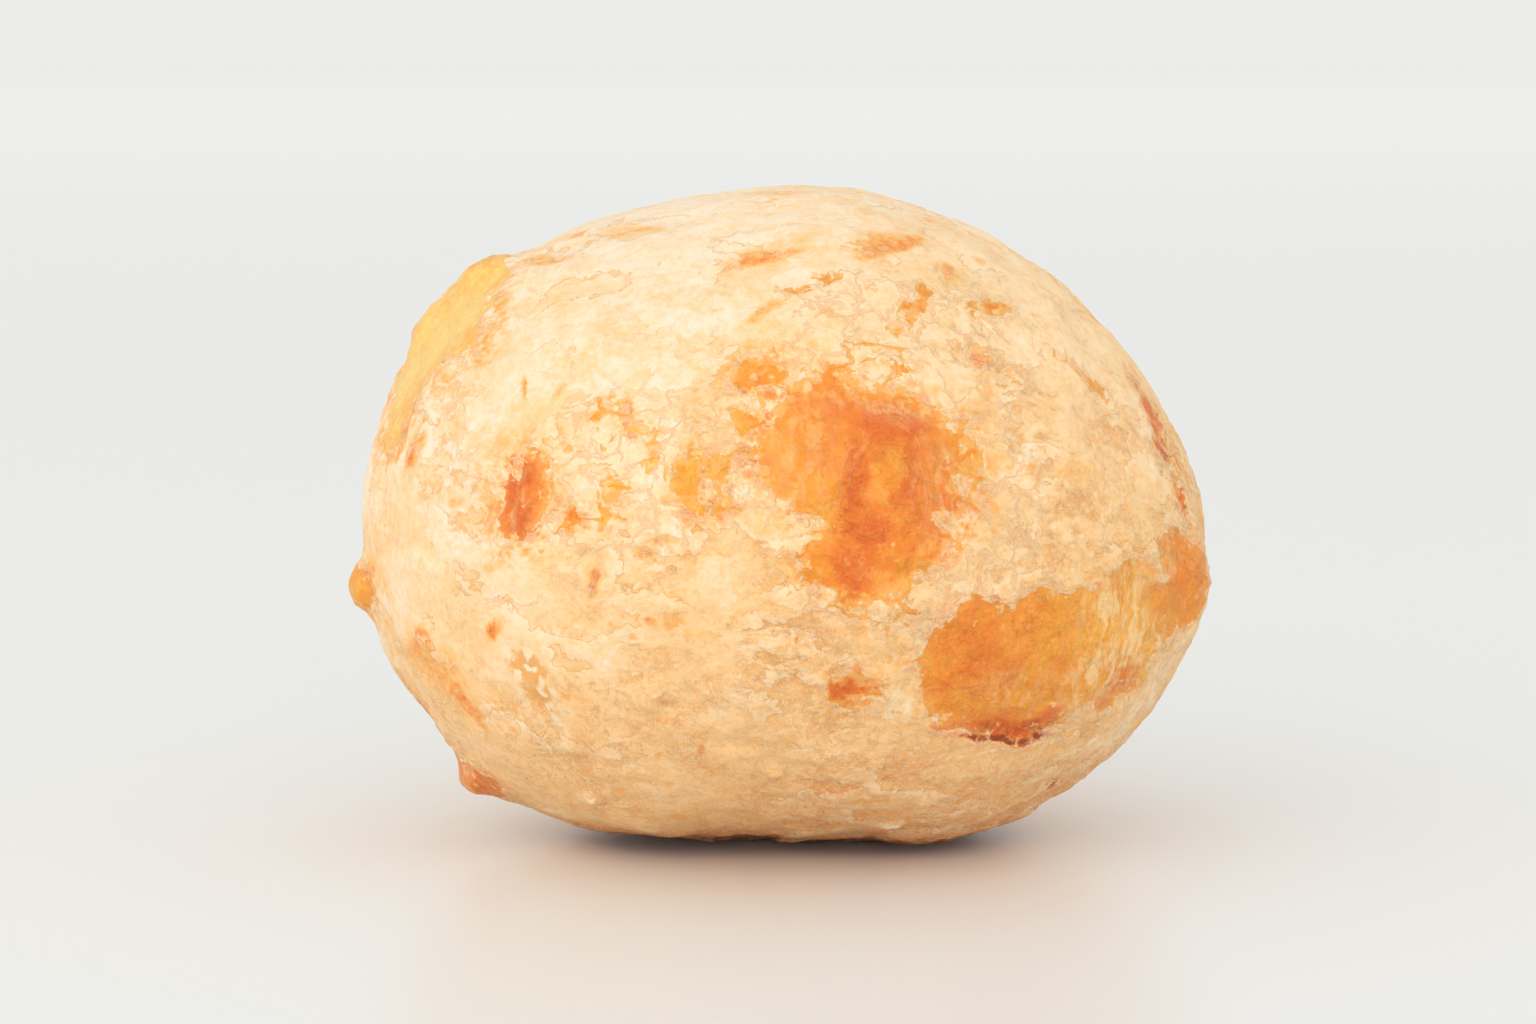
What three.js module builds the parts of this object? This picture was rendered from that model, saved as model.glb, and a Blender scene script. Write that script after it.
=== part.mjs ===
// A cheese bread roll, baked as one piece: a ball of dough a little wider than it is deep, which
// settled on a small flat foot and swelled unevenly in the oven.
// Units are millimetres and +Z is up. The roll's wide side faces -Y, and the origin is at the
// middle of the underside of its bounding box.
import * as THREE from "three";

const HALF_DEPTH = 26.4;
const FOOT_DROP = 21.8; // from the middle of the dough ball down to the flat foot
const DETAIL = 15; // each edge of the starting icosahedron is cut into DETAIL + 1

// The ball's outline seen from the front: its radius every 20 degrees, anticlockwise from +X.
// The lower stretch reaches a little below the foot, where the dough is pressed flat.
const FRONT_RADII = [
  28.3, 26.2, 24.5, 23.5, 23.1, 22.4, 23.4, 26.2, 28.0,
  28.8, 28.6, 27.1, 24.7, 22.2, 22.1, 24.9, 27.1, 28.7,
];

// Where the dough swelled (rise over 0) or sank (under 0). around turns from the front, -Y,
// towards +X, and up is the height above the middle, both in degrees.
const SWELLS = [
  { name: "left drip of cheese", around: -88, up: -9, rise: 1.1, spread: 1.8 },
  { name: "lump by the left foot", around: -84, up: -40.5, rise: 1.4, spread: 2.1 },
  { name: "shoulder ridge, upper end", around: -88, up: 39.5, rise: 0.6, spread: 2 },
  { name: "shoulder ridge, lower end", around: -86, up: 29, rise: 0.6, spread: 3.2 },
  { name: "right cheese bulge", around: 74, up: -9, rise: 0.9, spread: 4.4 },
  { name: "front blister", around: 14, up: 4, rise: 0.9, spread: 6 },
  { name: "back swell, upper right", around: 146, up: 24, rise: 1.3, spread: 12 },
  { name: "back dent, left", around: -138, up: -8, rise: -0.9, spread: 9 },
  { name: "back swell, low", around: 176, up: -24, rise: 0.8, spread: 9 },
  { name: "crown swell, back left", around: -150, up: 52, rise: 0.8, spread: 8 },
  { name: "crown dip", around: 120, up: 66, rise: -0.6, spread: 8 },
];

// A smooth closed curve through equally spaced values; turn goes once round from 0 to 1.
function valueAround(values, turn) {
  const place = THREE.MathUtils.euclideanModulo(turn, 1) * values.length;
  const step = Math.floor(place);
  const t = place - step;
  const [a, b, c, d] = [-1, 0, 1, 2].map((k) => values.at((step + k) % values.length));
  return b + 0.5 * t * (c - a + t * (2 * a - 5 * b + 4 * c - d + t * (3 * (b - c) + d - a)));
}

function directionOf({ around, up }) {
  const turn = THREE.MathUtils.degToRad(around);
  const rise = THREE.MathUtils.degToRad(up);
  return new THREE.Vector3(
    Math.sin(turn) * Math.cos(rise),
    -Math.cos(turn) * Math.cos(rise),
    Math.sin(rise),
  );
}

const swells = SWELLS.map((swell) => ({ ...swell, direction: directionOf(swell) }));

// How far the roll's skin is from the middle of the dough ball in a direction.
function skinDistance(direction) {
  const turn = Math.atan2(direction.z, direction.x) / (2 * Math.PI);
  const across = Math.hypot(direction.x, direction.z) / valueAround(FRONT_RADII, turn);
  const ball = 1 / Math.hypot(across, direction.y / HALF_DEPTH);
  return swells.reduce((distance, { direction: centre, rise, spread }) => {
    const away = centre.distanceTo(direction) * ball;
    return distance + rise * Math.exp(-((away / spread) ** 2));
  }, ball);
}

function rollGeometry() {
  const geometry = new THREE.IcosahedronGeometry(1, DETAIL);
  const points = geometry.getAttribute("position");
  const point = new THREE.Vector3();
  for (let i = 0; i < points.count; i++) {
    point.fromBufferAttribute(points, i).normalize();
    point.multiplyScalar(skinDistance(point));
    points.setXYZ(i, point.x, point.y, Math.max(point.z, -FOOT_DROP));
  }
  geometry.computeBoundingBox();
  const middle = geometry.boundingBox.getCenter(new THREE.Vector3());
  geometry.translate(-middle.x, -middle.y, -geometry.boundingBox.min.z);
  geometry.computeVertexNormals();
  return geometry;
}

const crust = new THREE.MeshStandardMaterial({ color: 0xf3cd98, roughness: 0.62, metalness: 0 });
const breadRoll = new THREE.Mesh(rollGeometry(), crust);
breadRoll.name = "bread_roll";

const roll = new THREE.Group();
roll.add(breadRoll);

export default roll;
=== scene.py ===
import math
from collections import namedtuple

import bmesh
import bpy
import numpy as np
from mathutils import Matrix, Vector, noise
from mathutils.bvhtree import BVHTree


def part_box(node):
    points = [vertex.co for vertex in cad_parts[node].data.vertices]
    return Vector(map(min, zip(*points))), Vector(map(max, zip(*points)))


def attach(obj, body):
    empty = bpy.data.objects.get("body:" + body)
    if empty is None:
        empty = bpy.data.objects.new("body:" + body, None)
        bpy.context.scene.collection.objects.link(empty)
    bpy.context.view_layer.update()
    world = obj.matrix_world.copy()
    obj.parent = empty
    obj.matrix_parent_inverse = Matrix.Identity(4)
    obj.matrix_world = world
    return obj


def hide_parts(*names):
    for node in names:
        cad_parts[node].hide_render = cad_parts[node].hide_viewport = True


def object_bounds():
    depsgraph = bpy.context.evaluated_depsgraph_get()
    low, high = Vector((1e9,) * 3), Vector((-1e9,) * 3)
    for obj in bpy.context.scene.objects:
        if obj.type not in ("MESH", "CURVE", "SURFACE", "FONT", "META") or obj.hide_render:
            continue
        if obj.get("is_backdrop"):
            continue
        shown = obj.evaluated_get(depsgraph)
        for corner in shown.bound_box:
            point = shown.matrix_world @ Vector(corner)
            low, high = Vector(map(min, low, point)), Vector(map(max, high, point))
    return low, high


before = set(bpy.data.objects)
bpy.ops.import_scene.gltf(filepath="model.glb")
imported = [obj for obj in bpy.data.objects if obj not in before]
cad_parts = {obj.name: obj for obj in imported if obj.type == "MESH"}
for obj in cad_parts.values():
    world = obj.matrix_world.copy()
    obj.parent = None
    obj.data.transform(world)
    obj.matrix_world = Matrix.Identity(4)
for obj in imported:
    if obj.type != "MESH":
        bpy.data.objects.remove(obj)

cad_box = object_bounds()

NODE = "bread_roll"
MM = 0.001
PER_METRE = 1000  # mm
MIDDLE = (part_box(NODE)[0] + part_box(NODE)[1]) / 2

# Camera
CAMERA_HEIGHT = math.radians(7)
CAMERA_REACH = 390 * MM
CAMERA_LENS = 135
AIM = Vector((-0.87, 0, -0.11)) * MM  # from the roll's middle, so that it sits a little right

# Studio, in metres and watts. A lamp is around degrees from the front towards +X and up degrees
# high, as seen from the roll's middle, and its size is its width and height.
BACKDROP = (0.838, 0.849, 0.83)
TABLE = (0.862, 0.86, 0.853, 1)
TABLE_RADIUS = 3
TABLE_FADE = (0.15, 1.4)  # from the roll, between which the table turns into the backdrop
LAMP_REACH = 1.1
LAMP_COLOUR = (1, 0.98, 0.95)
KEY_SIZE = (0.9, 0.7)
PANEL_SIZE = (1.2, 0.25)
Lamp = namedtuple("Lamp", "name around up watts size")
LAMPS = [
    Lamp("key", -38, 36, 1.1, KEY_SIZE),
    Lamp("panel, front", -3, 28, 1.5, PANEL_SIZE),
    Lamp("panel, low front", -3, 4, 1.2, PANEL_SIZE),
    Lamp("panel, left", -65, 5, 2.0, PANEL_SIZE),
    Lamp("panel, right", 58, 5, 1.5, PANEL_SIZE),
    Lamp("panel, back", 180, 12, 0.8, PANEL_SIZE),
]

# The skin's mesh
SKIN_CUTS = 127  # of each edge of the starting cube: 6 x 128 x 128 cells
SKIN_SMOOTHING = 12  # rounds
MERGE_WITHIN = 0.02 * MM

# Mark is a place on the skin: around turns from the front towards +X and up is the height above
# the roll's middle, in degrees. wide and high are half sizes in mm before it is turned
# anticlockwise by turn degrees. amount says how strong it is, in the units of its list.
Mark = namedtuple("Mark", "name around up wide high turn amount")

# Where the crust is torn away. amount is the most that a place is cleared, in mm: 3 leaves bare
# cheese, and near 0 about half of the flakes are left standing.
CRUST_HOLD = -2.2  # the clearing far from every tear
OUTER_HOLD = 2.2  # how much faster the clearing falls outside a tear than the distance from it
SCRAP_HOLD = 4  # and inside a scrap
TEARS = [
    Mark("front patch, left lobe", 5, 17, 4.0, 5.0, -5, 3),
    Mark("front patch, right lobe", 16, 11, 5.0, 6.8, -12, 3),
    Mark("front patch, foot", 9, 1.5, 3.2, 2.7, 0, 3),
    Mark("front patch, tongue", 8, 24.5, 2.3, 1.6, 0, 0.6),
    Mark("front patch, left arm", -2.5, 23, 2.1, 3.4, 3, 0.3),
    Mark("front patch, ragged right", 25, 11, 2.4, 4.4, -12, 0.1),
    Mark("front patch, ragged top", 14, 26.5, 4.0, 2.2, 0, -0.55),
    Mark("front patch, ragged foot", 13, -5, 4.2, 2.2, -20, -0.4),
    Mark("low patch, left lobe", 30, -16, 4.3, 4.9, 42, 3),
    Mark("low patch, right lobe", 43, -14, 6.4, 4.4, -11, 3),
    Mark("low patch, sill", 38, -23.5, 4.8, 2.3, -7, 3),
    Mark("low patch, arm", 57, -10, 5.0, 3.2, -14, 1.2),
    Mark("low patch, tail", 57, -19.5, 2.2, 3.0, -33, 0.9),
    Mark("right bulge", 67, -6.4, 3.1, 3.3, 17, 3),
    Mark("red oval", -39, 7.2, 1.9, 3.0, -6, 3),
    Mark("brick flakes", -19, 10.8, 8.2, 4.0, 2, -0.95),
    Mark("gap in the bricks, upper", -20.3, 13.7, 0.4, 0.8, 9, 0.6),
    Mark("gap in the bricks, middle", -24.3, 8.8, 0.5, 0.9, -17, 0.6),
    Mark("gap under the bricks", -27.5, 4.9, 1.8, 0.5, 9, 0.35),
    Mark("cakes over the front patch", 22, 34, 7.0, 5.0, 0, -1.2),
    Mark("cakes right of the front patch", 31, 8, 3.4, 6.0, -12, -1.2),
    Mark("cakes under the front patch", 22, -8, 5.0, 3.0, -10, -1.1),
    Mark("cakes over the bricks", -24, 18, 6.0, 2.4, 15, -1.2),
    Mark("window, left", -12, 10.5, 1.0, 2.0, 3, 3),
    Mark("window, right", -8.6, 10.5, 0.9, 1.9, 0, 3),
    Mark("slit over the bricks, left", -28.6, 21.4, 1.2, 0.5, 35, 0.6),
    Mark("slit over the bricks, middle", -24.6, 21.3, 0.5, 0.9, 20, 0.6),
    Mark("slit over the bricks, right", -22, 18.3, 0.9, 0.5, 0, 0.6),
    Mark("hole under the bricks", -30.8, 4.7, 0.7, 0.6, 0, 0.5),
    Mark("shoulder ridge, upper", -79, 37.5, 5.4, 2.0, -11, 3),
    Mark("shoulder ridge, middle", -75, 30, 5.6, 2.4, -9, 3),
    Mark("shoulder ridge, lower", -77, 22.5, 5.0, 2.6, 4, 3),
    Mark("shoulder ridge, foot", -74, 15, 2.6, 2.6, 0, 1.2),
    Mark("left bead", -82.5, -9.2, 3.0, 1.8, 0, 3),
    Mark("lump by the foot", -80, -41, 3.4, 2.2, 0, 3),
    Mark("lump's tail", -84, -32, 1.9, 4.2, 0, 1.4),
    Mark("rusty patch", 11, -19, 1.7, 1.6, -38, 1.1),
    Mark("crown slit, left", 31, 42.5, 0.7, 0.35, 50, 0.1),
    Mark("crown slit, middle", 26.5, 39, 1.7, 0.35, 42, 0.15),
    Mark("crown slit, right", 45, 38, 1.2, 0.35, 10, 0.1),
    Mark("crown crack", 7.3, 45.4, 1.0, 0.3, 18, 0.0),
    Mark("right shoulder slit", 57, 24, 1.5, 0.4, -50, 0.2),
    Mark("right limb strip, upper", 75, 14, 1.6, 3.4, -12, 1.5),
    Mark("right limb strip, lower", 72, 6, 1.0, 2.6, -12, 0.9),
    Mark("back patch, upper lobe", 158, 13, 4.6, 3.6, 20, 3),
    Mark("back patch, lower lobe", 167, 4, 3.4, 2.6, -30, 3),
    Mark("back patch, tongue", 148, 22, 2.4, 1.3, 35, 0.5),
    Mark("back patch, ragged side", 174, 12, 2.6, 3.4, 10, -0.2),
    Mark("back flakes", -162, 14, 6.0, 3.0, 4, -0.25),
    Mark("low back patch", -142, -20, 4.8, 3.0, -18, 3),
    Mark("low back patch, tail", -129, -26, 3.2, 1.0, -15, 0.6),
    Mark("left back oval", -118, 7, 1.7, 2.6, 15, 3),
    Mark("left back slit", -112, 30, 2.2, 0.7, -30, 0.5),
    Mark("right back patch", 112, 22, 2.8, 3.8, -12, 0.5),
    Mark("right back strip", 100, -4, 1.2, 3.4, 10, 0.8),
    Mark("right back spot", 124, -17, 1.8, 1.3, 0, 0.6),
    Mark("low right patch", 100, -30, 3.4, 1.6, -20, 0.7),
    Mark("crown patch, back", 170, 57, 3.0, 1.4, 20, 0.0),
    Mark("crown slit, back left", -125, 54, 2.4, 0.5, -25, 0.1),
    Mark("crown slit, back right", 130, 48, 2.0, 0.5, 30, 0.1),
    Mark("cakes round the back patch", 166, 22, 8.0, 6.0, 10, -1.2),
    Mark("cakes on the left back", -134, 4, 7.0, 6.0, 0, -1.3),
    Mark("cakes on the back of the crown", 150, 62, 7.0, 5.0, 0, -1.3),
]

# Scraps of crust left lying on the bare cheese.
SCRAPS = [
    Mark("scrap on the red oval", -40.5, 10.5, 0.35, 0.7, 18, 0),
    Mark("scrap on the front patch", 22.5, 4.9, 0.8, 0.5, -22, 0),
    Mark("scrap on the bulge", 62, -5.8, 1.3, 0.35, -6, 0),
    Mark("scrap beside the bulge", 51, -3.5, 1.2, 0.35, -5, 0),
    Mark("bridge across the window", -10.4, 10.5, 0.42, 3.0, 0, 0),
    Mark("scrap on the back patch", 154, 15, 1.0, 0.5, 20, 0),
    Mark("scrap on the low back patch", -139, -18, 0.7, 0.4, -20, 0),
]

# The crust round a tear goes from golden back to cream over this many mm, or over the tear's own
# half size if that is less. A tear that only loosens flakes thins the crust by less.
THIN_REACH = 1.7
THIN_BY_LOOSE_FLAKES = 0.1

# Where a tear's edge is cleaner than elsewhere: 1 is as ragged as the rest, and 0 is smooth.
CLEAN_EDGES = [
    Mark("low patch", 38, -15, 11, 7.5, -8, 0.22),
    Mark("red oval", -39, 7.2, 3.2, 4.2, -6, 0.25),
    Mark("left bead", -82.5, -9.2, 4, 3, 0, 0.1),
    Mark("lump by the foot", -79, -41, 4, 3.5, 0, 0.2),
    Mark("shoulder ridge", -76, 27, 7, 9, 0, 0.4),
    Mark("right bulge", 67, -6.4, 4, 4.5, 17, 0.3),
    Mark("window", -10.4, 10.5, 2.4, 2.2, 0, 0.2),
    Mark("brick flakes", -22, 11, 6.5, 5.0, 0, 1.45),
    Mark("low back patch", -142, -20, 7, 5, -18, 0.25),
    Mark("left back oval", -118, 7, 3.2, 4.2, 15, 0.3),
]

# How browned the bare cheese is: 0 is pale yellow, 0.5 orange and 1 dark brown.
CHEESE_BROWNING = 0.42  # outside the marks
BROWNINGS = [
    Mark("front patch, orange left", 6, 20, 3.5, 3.5, 0, 0.5),
    Mark("front patch, yellow left", 2.5, 9.8, 2.4, 2.6, 0, 0.36),
    Mark("front patch, red ring", 15, 12, 3.4, 4.4, -11, 0.61),
    Mark("blister eye", 14.8, 11.6, 1.2, 1.6, -11, 0.36),
    Mark("red right of the eye", 18.6, 11.4, 0.8, 2.4, -11, 0.74),
    Mark("red above the eye", 16, 19.6, 2.8, 1.3, -16, 0.72),
    Mark("red left of the eye", 10.4, 11.7, 0.9, 2.9, -5, 0.74),
    Mark("red under the eye", 11.9, 4.2, 1.6, 1.3, 0, 0.7),
    Mark("front patch, red tip", 9.8, -1.8, 1.6, 1.6, 0, 0.72),
    Mark("front patch, salmon right", 22, 9, 2.2, 3.6, -12, 0.6),
    Mark("low patch, deep left", 30, -13, 3.6, 3.6, 42, 0.52),
    Mark("low patch, yellow right", 48, -12, 4.6, 3.6, 0, 0.3),
    Mark("low patch, dark sill", 38, -26.4, 4.8, 1.0, -7, 0.85),
    Mark("low patch, dark corner", 45, -25, 1.2, 1.6, -27, 0.7),
    Mark("right bulge", 67, -6.4, 3.1, 3.3, 17, 0.52),
    Mark("low patch, pale right", 55, -15, 3.8, 4.2, -20, 0.3),
    Mark("amber bead", 62, -9.5, 1.8, 1.1, -10, 0.42),
    Mark("red oval", -39, 7.2, 2.2, 3.0, -6, 0.8),
    Mark("window", -10.5, 10.7, 1.8, 2.4, 7, 0.28),
    Mark("shoulder ridge", -76, 27, 7, 9, 0, 0.05),
    Mark("ridge, golden edge", -62.8, 34.5, 1.5, 0.8, -25, 0.2),
    Mark("ridge, golden foot", -71.1, 19, 1.8, 1.2, -10, 0.18),
    Mark("left bead", -84, -9.2, 3.0, 2.2, 0, 0.3),
    Mark("lump by the foot", -80, -38, 4.4, 6.0, 0, 0.66),
    Mark("rusty patch", 11, -19, 2.4, 2.0, -38, 0.72),
    Mark("under the brick flakes", -19, 12, 7.0, 5.5, 0, 0.25),
    Mark("red by the red oval", -31, 8, 2.4, 1.6, 0, 0.5),
    Mark("right limb strips", 74, 11, 3.0, 5.0, -12, 0.75),
    Mark("low patch, tail", 56, -20.5, 1.6, 2.6, -33, 0.62),
    Mark("back patch, red", 158, 12, 3.0, 2.4, 20, 0.68),
    Mark("back patch, yellow", 168, 3, 2.4, 1.8, -30, 0.28),
    Mark("back blister", 156, 14, 1.2, 0.9, 20, 0.3),
    Mark("low back patch", -144, -20, 3.4, 2.2, -18, 0.6),
    Mark("low back patch, edge", -138, -26, 3.4, 0.8, -18, 0.95),
    Mark("left back oval", -118, 7, 2.2, 3.0, 15, 0.74),
    Mark("right back patch", 112, 22, 3.0, 4.0, -12, 0.32),
    Mark("right back strip", 100, -4, 2.0, 3.4, 10, 0.65),
]

# Cheese that shows through whole crust: 0.4 is golden, 0.7 orange and 1 rusty red, and further
# up it is scorched. Under 0 the crust is floury white instead.
STAINS = [
    Mark("white field between patches", 25, -5, 3.0, 1.8, -10, -0.6),
    Mark("white crumbs right of the front patch", 29, 5, 1.6, 3.6, -14, -0.55),
    Mark("white cakes over the front patch", 24, 30, 5.0, 3.6, 0, -0.5),
    # The dusty crown and right shoulder are flour and, partly, painted sheen.
    Mark("dusty crown with painted sheen", 0, 70, 14, 8, 0, -0.4),
    Mark("dusty right shoulder with painted sheen", 62, 38, 9, 9, 0, -0.45),
    Mark("white field, back", -176, 0, 4.0, 2.4, 0, -0.5),
    Mark("white field, left back", -128, 22, 4.0, 3.0, 0, -0.5),
    Mark("white field, right back", 122, 8, 3.0, 3.0, 0, -0.5),
    # The pale band along the lower right limb is painted rim light.
    Mark("painted rim light band, right limb, upper", 73, -18, 3.6, 2.6, -14, -0.9),
    Mark("painted rim light band, right limb, middle", 70, -25, 3.6, 2.6, -17, -0.9),
    Mark("painted rim light band, right limb, lower", 66, -32, 3.4, 2.2, -21, -0.8),
    Mark("gold over the front patch", -2, 33, 3.6, 1.6, 28, 0.3),
    Mark("diagonal gold on the crown", -3.2, 39.1, 0.6, 2.0, -42, 0.5),
    Mark("gold right of the front patch", 29, 12, 3.0, 5.2, -14, 0.5),
    Mark("gold at the patch's lower right", 17, -11, 1.5, 0.8, 0, 0.45),
    Mark("gold under the patch", 10, -10, 1.3, 0.8, 0, 0.5),
    Mark("gold on the right cheek", 46, 10, 1.9, 1.0, 0, 0.45),
    Mark("golden blotch, low front", -13, -28, 1.8, 1.1, 10, 0.42),
    Mark("golden blotch, lower left", -22, -31, 1.5, 0.9, -20, 0.42),
    Mark("golden blotch, low left", -33, -20, 2.2, 2.8, 15, 0.36),
    Mark("golden blotch, centre", -12, -10, 1.4, 0.9, 0, 0.36),
    Mark("golden blotch, above the rusty patch", -2, -14, 1.2, 1.6, 0, 0.32),
    Mark("reddish blotch", 36.5, 28.6, 1.2, 2.4, 41, 0.75),
    Mark("faint blotch", 34, 22.7, 1.4, 2.1, -36, 0.5),
    Mark("crown haze", 4, 56.5, 3.4, 1.6, 5, 0.26),
    Mark("crown streak, front", -6.5, 53, 2.6, 1.3, 5, 0.4),
    Mark("crown streak, right", 28, 54.5, 4.0, 1.6, 20, 0.42),
    Mark("crown streak, right, core", 31, 53.6, 3.4, 0.8, 20, 0.68),
    Mark("crown streak, front, core", -5, 51.8, 3.4, 0.8, 10, 0.6),
    Mark("crown streak, top", -5, 81, 4.4, 2.0, -31, 0.42),
    Mark("crown streak, left", -59, 60, 3.4, 1.6, 6, 0.45),
    Mark("crown streak by the ridge", -68, 46.4, 3.2, 1.3, 31, 0.5),
    Mark("crown fleck", 42.5, 46, 1.6, 1.0, 25, 0.6),
    Mark("faded stripe", -60, -20, 4.2, 3.4, -40, 0.5),
    Mark("faded stripe, upper edge", -62, -14.5, 2.6, 0.8, 37, 0.7),
    Mark("faded stripe, lower edge", -55, -25, 0.7, 2.6, 22, 0.7),
    Mark("spot by the broken place", -44.5, -12, 0.6, 1.1, -34, 0.85),
    Mark("slanting spot", -26.5, -3.9, 0.45, 1.2, -33, 0.9),
    Mark("freckle, front", -17, 2.2, 0.5, 0.6, 0, 0.7),
    Mark("freckle, pale", -13, 0.5, 0.4, 0.8, 0, 0.45),
    Mark("crease", -19.6, -8.2, 0.9, 0.4, -27, 0.8),
    Mark("golden spot, left cheek", -50.8, 5.8, 0.9, 0.6, 0, 0.5),
    Mark("golden spot by the frayed band", -44.4, -2.3, 1.2, 0.6, 7, 0.5),
    Mark("spot over the red oval", -39, 17, 0.7, 0.5, -19, 0.6),
    Mark("loop, left half", -43, 23.4, 0.35, 1.2, 32, 0.6),
    Mark("loop, right half", -36.6, 23.6, 0.35, 1.2, -25, 0.55),
    Mark("drip under the ridge", -64, 11, 1.2, 1.6, -20, 0.7),
    Mark("lower spot, right", 8.8, -38, 0.7, 0.6, -33, 0.9),
    Mark("lower spot, far right", 19, -37, 0.6, 0.6, 40, 0.9),
    Mark("lower spot, left", -12.6, -31.4, 0.35, 0.9, -20, 0.9),
    Mark("lower spot, golden", -6.6, -22.4, 0.6, 0.5, 0, 0.5),
    Mark("rust round the rusty patch", 11, -19, 2.2, 1.7, -38, 0.7),
    Mark("brown rim, right limb, upper", 75, -29.3, 2.2, 0.9, -25, 0.85),
    Mark("brown rim, right limb, lower", 70, -35.5, 3.0, 0.8, -33, 0.85),
    Mark("scorch at the right foot", 63, -40, 1.0, 0.4, -38, 1.6),
    Mark("dark sill of the low patch", 37, -27.6, 5.0, 0.4, -7, 1.9),
    Mark("sill's dark corner", 44.5, -26.8, 1.7, 0.5, 15, 1.4),
    Mark("white edge, low patch", 22.5, -15, 1.4, 3.4, 30, -0.8),
    Mark("gold over the back patch", 160, 26, 4.0, 2.2, 15, 0.5),
    Mark("gold left of the back patch", 138, 10, 2.4, 3.4, 0, 0.5),
    Mark("back blotch", -178, 30, 2.6, 1.3, 30, 0.6),
    Mark("back blotch, low", 178, -22, 1.8, 1.1, -20, 0.6),
    Mark("low back spot", 150, -30, 0.9, 0.6, 10, 0.9),
    Mark("back stripe", -100, -16, 3.4, 1.1, -35, 0.7),
    Mark("back stripe, lower", -96, -25, 1.6, 2.6, 12, 0.6),
    Mark("left back spot", -104, 14, 0.7, 1.0, 0, 0.8),
    Mark("crown streak, back", 165, 66, 3.8, 1.5, 15, 0.42),
    Mark("crown streak, back left", -120, 66, 3.0, 1.3, -20, 0.4),
    Mark("crown blotch, back right", 120, 60, 2.2, 1.5, 40, 0.45),
    Mark("right blotch", 92, 30, 1.4, 2.4, 30, 0.6),
    Mark("right spot", 104, 8, 0.7, 0.7, 0, 0.8),
    Mark("right stripe", 118, -2, 2.6, 0.8, 20, 0.6),
    Mark("frayed band", -59.5, -3.2, 4.8, 0.9, 6, -0.8),
    Mark("frayed white by the rusty patch", 17.6, -21.4, 1.4, 1.3, -35, -0.8),
    Mark("frayed white, bricks", -19, 10.7, 1.3, 1.1, 0, -0.9),
    Mark("frayed white, window", -5.6, 9.6, 0.9, 1.5, 0, -0.9),
    Mark("crumbs of the broken place", -39, -21, 1.8, 1.8, 43, -0.6),
    Mark("crumbs under the broken place", -37.6, -27, 0.7, 1.9, -25, -0.8),
    Mark("white crumb, right foot", 28, -52.4, 0.5, 0.6, 0, -1.2),
    Mark("white crumb, far right foot", 33.7, -49, 0.4, 0.5, 0, -1.2),
    Mark("white crumb, left foot", -39.7, -42.6, 0.8, 0.4, 0, -1.2),
]

# Pale streaks over the bare cheese: 0 is none and 1 is many.
HAZES = [
    Mark("right of the low patch", 54, -14, 3.6, 5.0, -20, 1.1),
    Mark("low patch, arm", 50.5, -9.5, 2.4, 2.8, 0, 0.9),
    Mark("low patch, foot", 36, -20, 3.0, 1.6, -7, 0.35),
    Mark("front patch, left", 3, 15, 2.6, 3.6, 0, 0.35),
    Mark("front patch, brow", 15, 22, 3.4, 1.2, -14, 0.5),
    Mark("front patch, right", 22, 10, 1.8, 3.4, -12, 0.3),
    Mark("red oval", -40, 5, 0.8, 1.6, -6, 0.35),
    Mark("right bulge", 66, -4, 2.6, 1.4, 17, 0.4),
    Mark("amber bead", 62, -9.5, 2.2, 1.3, -10, 0),
    Mark("shoulder ridge", -76, 28, 6.0, 7.0, 0, 0.5),
    Mark("lump by the foot", -80, -40, 3.0, 2.0, 0, 0.5),
    Mark("back patch", 163, 9, 3.0, 3.0, 0, 0.4),
    Mark("low back patch", -146, -19, 2.2, 2.2, 0, 0.5),
]

# Where the crust is broken open, from 0 to 1.
BREAKS = [
    Mark("broken place", -39.6, -17, 2.0, 1.5, 13, 1.0),
    Mark("crumbs under it", -38.5, -22, 1.8, 1.6, 43, 0.8),
    Mark("crumbs below", -37.6, -27, 1.0, 2.0, -25, 0.6),
    Mark("broken place, back", 134, -34, 1.6, 1.0, -15, 0.8),
]

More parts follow.
